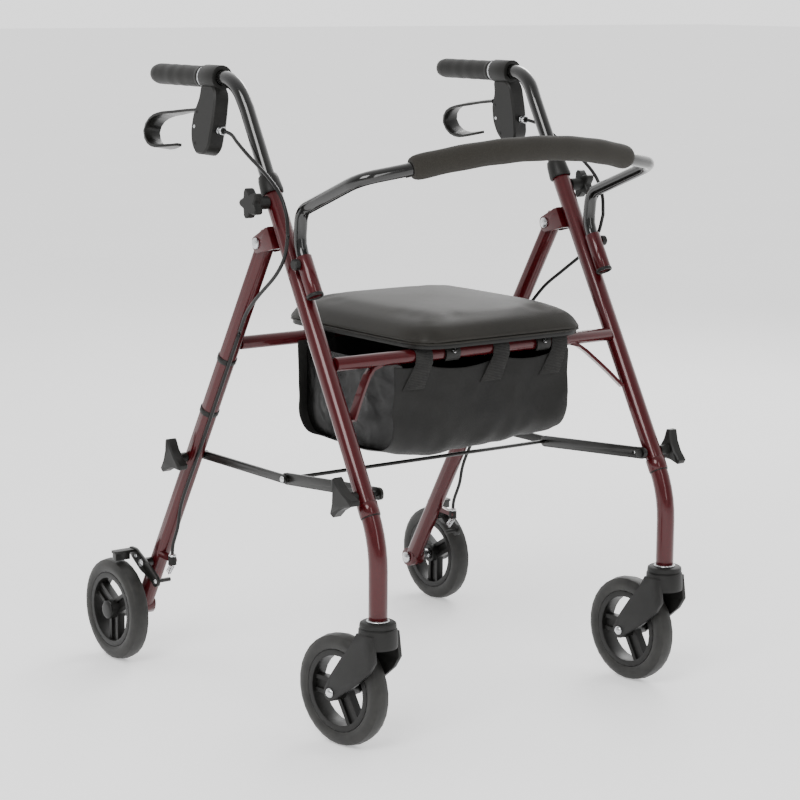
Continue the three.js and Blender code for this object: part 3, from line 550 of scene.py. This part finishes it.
def seat_cushion():
    """A crowned vinyl pad whose sides slope outward to a sewn edge on the board."""
    lo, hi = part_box("seat_pad")
    centre = (lo + hi) / 2
    half = (hi - lo) / 2
    # (share of the half width, share of the height), from the middle of the top to that of the underside
    profile = [
        (0.0, 1.0), (0.25, 0.99), (0.45, 0.972), (0.6, 0.948), (0.72, 0.912), (0.81, 0.862),
        (0.872, 0.795), (0.918, 0.7), (0.95, 0.585), (0.973, 0.45), (0.988, 0.31), (0.997, 0.18),
        (1.0, 0.08), (0.994, 0.02), (0.96, 0.0), (0.5, 0.0), (0.0, 0.0),
    ]
    around = 128
    verts, faces = [], []
    height = hi.z - lo.z
    for share, level in profile[1:-1]:
        for k in range(around):
            point = rounded_rect(half.x, half.y, SEAT_CORNER, 2 * math.pi * k / around) * share
            verts.append((centre.x + point.x, centre.y + point.y, lo.z + level * height))
    rings = len(profile) - 2
    for i in range(rings - 1):
        for k in range(around):
            m = (k + 1) % around
            faces.append((i * around + k, (i + 1) * around + k, (i + 1) * around + m, i * around + m))
    top, bottom = len(verts), len(verts) + 1
    verts += [(centre.x, centre.y, hi.z), (centre.x, centre.y, lo.z)]
    for k in range(around):
        m = (k + 1) % around
        faces.append((top, k, m))
        faces.append((bottom, (rings - 1) * around + m, (rings - 1) * around + k))
    pad = mesh_object("seat_cushion", verts, faces)
    tidy_normals(pad)
    inflate(pad, floor_z=lo.z + 0.006, cap=0.003)
    place_piece(pad, "seat_vinyl", "seat", replaces=["seat_pad"])
    welt = []
    steps = 160
    for k in range(steps + 1):
        angle = 2 * math.pi * k / steps
        p = rounded_rect(half.x - WELT_INSET, half.y - WELT_INSET, SEAT_CORNER, angle)
        welt.append(Vector((centre.x + p.x, centre.y + p.y, lo.z + 0.0012)))
    edge = tube("seat_welt", welt, 0.0014, 8)
    place_piece(edge, "seat_vinyl", "seat")


def inflate(obj, floor_z, cap):
    """Swells a closed pad as cloth under pressure, by cap at most, pinned below floor_z."""
    last_frame = 20
    modifier(obj, "REMESH", mode="VOXEL", voxel_size=0.0055)
    apply_modifiers(obj)
    rest = [v.co.copy() for v in obj.data.vertices]
    pins = obj.vertex_groups.new(name="pins")
    pins.add([v.index for v in obj.data.vertices if v.co.z < floor_z], 1.0, "REPLACE")
    cloth = modifier(obj, "CLOTH")
    cloth.settings.vertex_group_mass = "pins"
    cloth.settings.use_pressure = True
    cloth.settings.uniform_pressure_force = 4
    cloth.settings.effector_weights.gravity = 0
    cloth.settings.quality = 5
    cloth.point_cache.frame_start = 1
    cloth.point_cache.frame_end = last_frame
    scene = bpy.context.scene
    for step in range(1, last_frame + 1):
        scene.frame_set(step)
    apply_modifiers(obj)
    scene.frame_set(1)
    for vertex, start in zip(obj.data.vertices, rest):
        move = vertex.co - start
        if move.length > cap:
            vertex.co = start + move * (cap / move.length)
    obj.data.shade_smooth()
    modifier(
        obj, "SMOOTH", factor=0.5, iterations=10, vertex_group="pins", invert_vertex_group=True
    )
    modifier(obj, "SUBSURF", levels=1, render_levels=1)


def pad_line(x):
    """The middle of the backrest pad at x, on the tube's bow."""
    share = (x / 0.184) ** 2
    return Vector((x, -0.3182 + 0.0255 * share, 0.7841 - 0.0204 * share))


def backrest_cushion():
    half = 0.186
    steps = 72
    line = [pad_line(-half + 2 * half * i / steps) for i in range(steps + 1)]

    def radius(share):
        edge = min(share, 1 - share) * 2 * half
        return 0.0166 - 0.0028 * math.exp(-edge / 0.004) + 0.0003 * math.sin(share * 40)

    pad = tube("backrest_cushion", line, radius, 40)
    modifier(pad, "BEVEL", width=0.0012, segments=2, limit_method="ANGLE", angle_limit=0.9)
    place_piece(pad, "foam", "backrest", replaces=["backrest_pad"])
    step_shadow_at = [p + Vector((0, 0.0118, -0.0118)) for p in line]
    seam = tube("backrest_seam", step_shadow_at, 0.0011, 8)
    place_piece(seam, "foam", "backrest")


BAG_RIM_Z = 0.492
BAG_CORNER = 0.034
FRONT_STRAPS = (-0.101, 0.034, 0.140)
REAR_STRAPS = (-0.101, 0.120)


def bag_profile(lo_y, hi_y, low):
    """The bag's section from the front rim, round the bottom, to the back rim."""
    wall_steps, bend_steps, bottom_steps = 20, 6, 16
    bends = [math.pi / 2 * i / bend_steps for i in range(1, bend_steps + 1)]
    points = []
    for i in range(wall_steps + 1):
        z = BAG_RIM_Z + (low + BAG_CORNER - BAG_RIM_Z) * i / wall_steps
        points.append(Vector((0, lo_y, z)))
    for a in bends:
        y = lo_y + BAG_CORNER * (1 - math.cos(a))
        points.append(Vector((0, y, low + BAG_CORNER * (1 - math.sin(a)))))
    for i in range(1, bottom_steps + 1):
        y = lo_y + BAG_CORNER + (hi_y - lo_y - 2 * BAG_CORNER) * i / bottom_steps
        points.append(Vector((0, y, low)))
    for a in bends:
        y = hi_y - BAG_CORNER * (1 - math.sin(a))
        points.append(Vector((0, y, low + BAG_CORNER * (1 - math.cos(a)))))
    for i in range(1, wall_steps + 1):
        z = low + BAG_CORNER + (BAG_RIM_Z - low - BAG_CORNER) * i / wall_steps
        points.append(Vector((0, hi_y, z)))
    return points


def bag_depth(z, low):
    """0 at the rim and 1 at the bottom."""
    return (BAG_RIM_Z - z) / (BAG_RIM_Z - low)


def crumple(point, size, seed):
    return noise.noise(point * size + Vector((seed, seed * 1.7, seed * 0.3)))


def crease(point, size, seed):
    """Sharp folds: high along thin wandering lines, low in between."""
    return 1 - 3 * abs(crumple(point, size, seed))


def rim_dip(x, lo_x, hi_x):
    """How far the front rim hangs below its straps at x."""
    stops = [lo_x, *FRONT_STRAPS, hi_x]
    for a, b in zip(stops, stops[1:]):
        if a <= x <= b:
            return 0.085 * (b - a) * math.sin(math.pi * (x - a) / (b - a)) ** 0.8
    return 0.0


def cloth_sheet(name, verts, faces, levels):
    sheet = mesh_object(name, verts, faces)
    modifier(sheet, "SOLIDIFY", thickness=SHEET_THICKNESS, offset=0)
    modifier(sheet, "SUBSURF", levels=levels, render_levels=levels)
    return sheet


def bag_body(section, lo_x, hi_x, middle_y, low):
    """The sheet that makes the front, bottom and back, with its sag and waves."""
    rear_rim_rise = 0.007
    columns = 56
    verts, faces = [], []
    for i in range(columns + 1):
        share = i / columns
        x = lo_x + (hi_x - lo_x) * i / columns
        for p in section:
            depth = bag_depth(p.z, low)
            sag = 0.016 * math.sin(math.pi * share**0.8) * (1.15 - 0.5 * share) * depth
            at = Vector((x, p.y * 0.6, p.z))
            wave = 0.005 * crumple(at, 17, 3.1) + 0.0025 * crumple(at, 43, 8.0)
            wave += 0.0012 * crease(at, 26, 4.4)
            out = Vector((0, p.y - middle_y, p.z - (BAG_RIM_Z + low) / 2)).normalized()
            dip = rim_dip(x, lo_x, hi_x) if p.y < middle_y else -rear_rim_rise
            dip *= max(0.0, 1 - 2.5 * depth)
            verts.append(Vector((x, p.y, p.z - dip - sag)) + out * wave * (0.3 + depth))
    rows = len(section)
    for i in range(columns):
        for j in range(rows - 1):
            a = i * rows + j
            faces.append((a, a + 1, a + rows + 1, a + rows))
    return cloth_sheet("bag_body", verts, faces, 1)


def bag_panel(side, x_edge, section, low):
    """A side panel, drawn inward at its edges and folded in the middle."""
    inward = 1 if side == "right" else -1
    levels = 30
    half = len(section) // 2
    verts, faces = [], []
    for i in range(half + 1):
        front, back = section[i], section[len(section) - 1 - i]
        for j in range(levels + 1):
            t = j / levels
            p = front.lerp(back, t)
            bulge = math.sin(math.pi * t) * math.sin(math.pi * min(1, (i + 1) / half))
            at = Vector((0, p.y, p.z * 0.7))
            fold = 0.012 * crumple(at, 22, 5.5 * inward) + 0.006 * crease(at, 26, 2.0)
            fold += 0.003 * crease(at, 55, 7.0)
            depth = bag_depth(p.z, low)
            bow = 0.010 * (1 - bulge) - fold * bulge
            dip = 0.002 * math.sin(math.pi * t) * max(0.0, 1 - 2.5 * depth)
            x = x_edge + inward * (0.006 + bow)
            verts.append(Vector((x, p.y, p.z - dip - 0.004 * depth)))
    for i in range(half):
        for j in range(levels):
            a = i * (levels + 1) + j
            faces.append((a, a + 1, a + levels + 2, a + levels + 1))
    return cloth_sheet(f"bag_panel_{side}", verts, faces, 2)


def strap_width(share):
    """A strap spreads towards its sewn tail."""
    return 0.028 + 0.009 * max(0.0, (share - 0.62) / 0.38)


def bag_strap(name, x, rail_y, wall_y, lean):
    """A strap over a rail, with its tail sewn to the front of the wall at wall_y."""
    rail_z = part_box("front_rail")[1].z - RAIL_R
    wrap = RAIL_R + 0.0013
    line = [Vector((x, rail_y + wrap, rail_z - 0.012)), Vector((x, rail_y + wrap, rail_z))]
    for k in range(1, 12):
        a = math.pi * k / 12
        line.append(Vector((x, rail_y + wrap * math.cos(a), rail_z + wrap * math.sin(a))))
    line.append(Vector((x, rail_y - wrap, rail_z - 0.002)))
    for k in range(7):
        line.append(Vector((x + lean * k / 6, wall_y - 0.0016, rail_z - 0.010 - 0.0058 * k)))
    return ribbon(name, line, (1, 0, 0), strap_width, 0.0014)


def storage_bag():
    lo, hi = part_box("storage_bag")
    y0 = lo.y + 0.003
    y1 = min(hi.y - 0.021, middle("rear_rail").y - RAIL_R - 0.0015)
    low = lo.z + 0.004
    section = bag_profile(y0, y1, low)
    pieces = [(bag_body(section, lo.x, hi.x, (y0 + y1) / 2, low), "bag_nylon")]
    for side, x_edge in (("right", lo.x), ("left", hi.x)):
        pieces.append((bag_panel(side, x_edge, section, low), "side_nylon"))
    front_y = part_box("front_rail")[1].y - RAIL_R
    rear_y = middle("rear_rail").y
    straps = [("front", x, front_y, y0, -0.019) for x in FRONT_STRAPS]
    straps += [("rear", x, rear_y, y1, 0.0) for x in REAR_STRAPS]
    for index, (place, *shape) in enumerate(straps):
        pieces.append((bag_strap(f"bag_strap_{place}_{index}", *shape), "webbing"))

    for obj, material in pieces:
        apply_modifiers(obj)
        obj.data.shade_smooth()
        if obj.name.startswith("bag_strap_rear"):
            place_piece(obj, "bag_nylon", "rear_frame", material)
            continue
        place_piece(obj, "bag_nylon", "front_frame", material)
        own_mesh(obj)
    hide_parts("storage_bag")


# ---------------------------------------------------------------- grips, cables and fittings


def hand_grip(side):
    lo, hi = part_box(f"hand_grip_{side}")
    centre = (lo + hi) / 2
    length = hi.y - lo.y
    profile = [(0.0, 0.0), (0.0, 0.0132), (0.001, 0.0150), (0.0045, 0.0152), (0.0055, 0.0146)]
    waves = 4
    start, end = 0.010, length - 0.016
    for k in range(49):
        share = k / 48
        ridge = 0.00022 * math.sin(math.pi * share) * math.cos(2 * math.pi * waves * share)
        profile.append((start + (end - start) * share, 0.0147 - ridge))
    profile += [(length - 0.010, 0.0138), (length - 0.005, 0.0124)]
    profile += [(length - 0.0015, 0.0085), (length, 0.0)]
    grip = turned(f"grip_{side}", profile, (centre.x, lo.y, centre.z), (0, 1, 0), 40)
    place_piece(grip, "grip_rubber", f"handle_{side}", replaces=[f"hand_grip_{side}"])


CABLE_R = 2.5 * MM
CABLE_X = 262

# cable routes of the left side, in millimetres
UPPER_ROUTE = [
    (269.3, 19, 796.9), (271, -2, 793), (275, -22, 784), (277, -52, 768), (278, -97, 745), (278, -128, 722),
    (278, -143, 696), (278, -146, 668),
]
CROSSING_ROUTE = [
    (278, -146, 668), (277, -137, 640), (276, -114, 613), (273, -68, 580),
    (268, -32, 553), (262, -4.5, 522),
]


def rear_leg_point(z, forward):
    """A point in front of the left rear leg's line at height z, in millimetres."""
    leg = Vector((255, -31.9 + REAR_SLOPE * (600 - z), z))
    return leg + Vector((0, -UP_REAR.z, UP_REAR.y)) * forward


def cable_run(name, route, sign, bodies, replaces=()):
    line = smooth_line([Vector((sign * x, y, z)) * MM for x, y, z in route], 6)
    obj = tube(name, line, CABLE_R, 12)
    place_piece(obj, "cable_sheath", None if len(bodies) == 2 else bodies[0])
    if len(bodies) == 2:
        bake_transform(obj)
    if replaces:
        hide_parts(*replaces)


def brake_cable(side, sign):
    handle, upper, lower = f"handle_{side}", f"upper_cable_{side}", f"lower_cable_{side}"
    cable_run(f"cable_top_{side}", UPPER_ROUTE, sign, [handle, "front_frame"], [upper])
    cable_run(f"cable_crossing_{side}", CROSSING_ROUTE, sign, ["front_frame", "rear_frame"])
    route = [(CABLE_X, *rear_leg_point(z, 16).yz) for z in (529, 480, 400, 330, 262)]
    route += [(CABLE_X, 160, 216), (CABLE_X, 173, 188), (CABLE_X, 176, 173)]
    cable_run(f"cable_leg_{side}", route, sign, ["rear_frame"], [lower])


BRAKE_SWING = math.radians(9)
GRIP_AXIS = Vector((258, 0, 868)) * MM


def on_brake(sign, x, y, w):
    """A point of the hand brake as it leans outward, from one given upright, in mm from the grip."""
    leaned = Quaternion((0, 1, 0), -BRAKE_SWING) @ Vector((x, y, w)) * MM + GRIP_AXIS
    return Vector((sign * leaned.x, leaned.y, leaned.z))


def stud(name, at, axis, radius, height, slot, body, material=None):
    """A low domed head standing on a surface."""
    profile = [(-0.0004, 0.0), (-0.0004, radius)]
    for k in range(7):
        angle = math.pi / 2 * k / 6
        profile.append((height * math.sin(angle), radius * math.cos(angle) if k < 6 else 0.0))
    return place_piece(turned(name, profile, at, axis, 24), slot, body, material)


def brake_handle_details(side, sign):
    body = f"handle_{side}"
    for face in (-1, 1):
        out = on_brake(sign, face, 0, 0) - on_brake(sign, 0, 0, 0)
        for index, (y, w) in enumerate(((79, -50), (80, -70), (74, -93))):
            slot = "bright_steel" if index == 1 else "black_plastic"
            at = on_brake(sign, face * 12.5, y - 3, w)
            name = f"housing_rivet_{side}_{'outer' if face > 0 else 'inner'}_{index}"
            stud(name, at, out, 0.0024, 0.0009, slot, body)
    nut = [
        (0.0, 0.0043), (0.0, 0.0058), (0.0012, 0.0062),
        (0.0055, 0.0062), (0.0067, 0.0058), (0.0067, 0.0043),
    ]
    at = on_brake(sign, 0, 21.5, -72)
    place_piece(turned(f"cable_nut_{side}", nut, at, (0, 1, 0), 6), "bright_steel", body)
    ring = [(0.0, 0.0043), (0.0, 0.0051), (0.0034, 0.0051), (0.0034, 0.0043)]
    at = on_brake(sign, 0, 29.2, -72)
    place_piece(turned(f"cable_collar_{side}", ring, at, (0, 1, 0), 24), "bright_steel", body)
    cuff = [(0.0, 0.0107), (0.0, 0.0153), (0.0034, 0.0153), (0.0034, 0.0107)]
    at = (sign * GRIP_AXIS.x, 0.0794, GRIP_AXIS.z)
    place_piece(turned(f"grip_cuff_{side}", cuff, at, (0, 1, 0), 32), "bright_steel", body)


def band(name, at, axis, half, inner, outer, slot, body):
    """A ring with rounded edges around a tube, twice half in width."""
    edge = (outer - inner) * 0.4
    profile = [
        (-half, inner), (-half, outer - edge), (-half + edge, outer),
        (half - edge, outer), (half, outer - edge), (half, inner),
    ]
    return place_piece(turned(name, profile, at, axis, 40), slot, body)


def brake_spring(side, top, foot):
    along = (foot - top).normalized()
    u = along.orthogonal().normalized()
    v = along.cross(u)
    turns, steps = 5, 100
    coil = []
    for k in range(steps + 1):
        angle = 2 * math.pi * turns * k / steps
        coil.append(top.lerp(foot, k / steps) + (u * math.cos(angle) + v * math.sin(angle)) * 0.0036)
    spring = tube(f"brake_spring_{side}", coil, 0.0007, 8)
    place_piece(spring, "bright_steel", "rear_frame")


def rear_brake_details(side, sign):
    x = sign * CABLE_X * MM
    adjuster = Vector((x, 0.176, 0.168))
    profile = [(0.0, 0.0045), (0.0, 0.0062)]
    for k in range(5):
        profile += [(0.0012 + 0.0022 * k, 0.0064), (0.0022 + 0.0022 * k, 0.0056)]
    profile += [(0.0118, 0.0058), (0.0118, 0.0045)]
    foot = adjuster + Vector((0, 0, -0.0116))
    thread = turned(f"adjuster_{side}", profile, foot, (0, 0, 1), 20)
    place_piece(thread, "black_plastic", "rear_frame")
    profile = [(0.0, 0.0045), (0.0, 0.0062), (0.003, 0.0062), (0.003, 0.0045)]
    nut_at = adjuster + Vector((0, 0, 0.0004))
    nut = turned(f"adjuster_nut_{side}", profile, nut_at, (0, 0, 1), 6)
    place_piece(nut, "bright_steel", "rear_frame")
    brake_spring(side, adjuster + Vector((0, 0.0005, -0.0125)), Vector((x, 0.187, 0.1425)))
    _, pivot_y, pivot_z = JOINTS[f"brake_apply_{side}"]["pos_m"]
    bolts = [
        ("arm_bolt", 0.2855, pivot_y, pivot_z, 0.0052, 0.0022),
        ("hook_bolt", 0.283, 0.190, 0.1305, 0.0038, 0.0018),
        ("shoe_bolt", 0.283, 0.2445, 0.1585, 0.0032, 0.0014),
    ]
    for name, out, y, z, radius, height in bolts:
        at, body = (sign * out, y, z), f"brake_arm_{side}"
        stud(f"{name}_{side}", at, (sign, 0, 0), radius, height, "bright_steel", body)


def wheel_cap(side, sign):
    """The domed cover over the rear hub."""
    lo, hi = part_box(f"rear_axle_bolt_{side}")
    centre = (lo + hi) / 2
    outer = hi.x if sign > 0 else lo.x
    at = Vector((outer - sign * 0.0042, centre.y, centre.z))
    profile = [
        (0.0, 0.0), (0.0, 0.0138), (0.0022, 0.0138),
        (0.0036, 0.0122), (0.0044, 0.0086), (0.0046, 0.0),
    ]
    cap = turned(f"hub_cap_{side}", profile, at, (sign, 0, 0), 32)
    place_piece(cap, "rim_plastic", f"rear_wheel_{side}")


def leg_bands(side, leg_x):
    """The step in the front leg with a thin black band below it as its painted shadow line, the sleeve's
    ring and the clips on the rear leg.
    """
    foot = middle(f"backrest_sleeve_{side}") - UP_FRONT * 0.0276
    step_z = 0.325
    step_at = Vector((leg_x, -0.1431 - FRONT_SLOPE * (0.6 - step_z), step_z))
    step_shadow_at = step_at - UP_FRONT * 0.0098
    step_r, step_shadow_r = LEG_R + 0.0012, LEG_R + 0.0005
    paint, black, front = "burgundy_steel", "black_plastic", "front_frame"
    band(f"leg_step_{side}", step_at, UP_FRONT, 0.009, LEG_R, step_r, paint, front)
    # A thin black ring at the lower edge of the step: painted shadow where the step overhangs the leg.
    band(f"leg_shadow_line_{side}", step_shadow_at, UP_FRONT, 0.0008, LEG_R, step_shadow_r, black, front)
    band(f"sleeve_ring_{side}", foot, UP_FRONT, 0.0024, 0.0096, 0.0118, black, front)
    for index, z in enumerate((480, 400)):
        at = rear_leg_point(z, 0) * MM
        at.x = leg_x
        band(f"cable_clip_{side}_{index}", at, UP_REAR, 0.004, LEG_R, step_r, black, "rear_frame")


def fittings(side, sign):
    leg_x = middle(f"front_leg_{side}").x
    leg_bands(side, leg_x)
    stem_at = Vector((leg_x, -0.3188, 0.1822))
    steel_slot = "bright_steel"
    band(f"stem_washer_{side}", stem_at, (0, 0, 1), 0.0012, LEG_R, 0.0152, steel_slot, "front_frame")
    middle_pin = (sign * 0.2417, -0.0788, 0.326)
    stud(f"brace_rivet_{side}", middle_pin, (sign, 0, 0), 0.0046, 0.0022, steel_slot, "brace_rear")
    brake_handle_details(side, sign)
    rear_brake_details(side, sign)
    wheel_cap(side, sign)


def seat_clip_screws():
    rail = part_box("front_rail")[1]
    y, z = rail.y - RAIL_R - 0.0150, rail.z - RAIL_R + 0.004
    for index, x in enumerate((-0.052, 0.110)):
        stud(f"clip_screw_{index}", (x, y, z), (0, -1, 0.1), 0.0034, 0.0018, "bright_steel", "seat")


# ---------------------------------------------------------------- the scene

camera()
studio()
finish_hard_parts()
seat_cushion()
backrest_cushion()
storage_bag()
seat_clip_screws()
for side, sign in SIDES.items():
    hand_grip(side)
    brake_cable(side, sign)
    fittings(side, sign)
